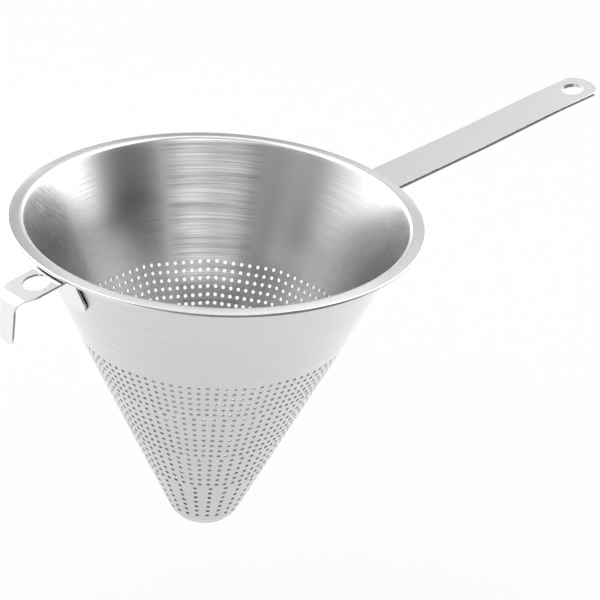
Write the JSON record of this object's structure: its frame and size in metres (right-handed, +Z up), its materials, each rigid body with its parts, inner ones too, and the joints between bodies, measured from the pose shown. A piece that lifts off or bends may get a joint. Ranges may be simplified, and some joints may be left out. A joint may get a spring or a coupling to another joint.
{
  "type": "chinois strainer",
  "caption": "Conical chinois strainer of perforated stainless sheet with a rolled rim, a flat welded strap handle with a hang hole and a bent hook that rests on a pot's edge.",
  "frame": {"origin": "middle of the cone's mouth, in the plane where the inner wall meets the flange rim", "axes": "+Z up along the cone's axis, out of the mouth; +X towards the handle's free end; +Y completes the right-handed frame"},
  "size_m": [0.3572, 0.1998, 0.1899],
  "materials": {
    "sheet_steel": "satin, brushed round the axis",
    "cap_steel": "satin",
    "strap_steel": "satin, rounded edges",
    "hook_steel": "satin",
    "weld_steel": "as welded"
  },
  "bodies": {
    "root": {"strainer_cone": "sheet_steel", "tip_cap": "cap_steel", "handle_strap": "strap_steel", "support_hook": "hook_steel", "handle_spot_welds": "weld_steel", "hook_spot_welds": "weld_steel"}
  },
  "joints": []
}
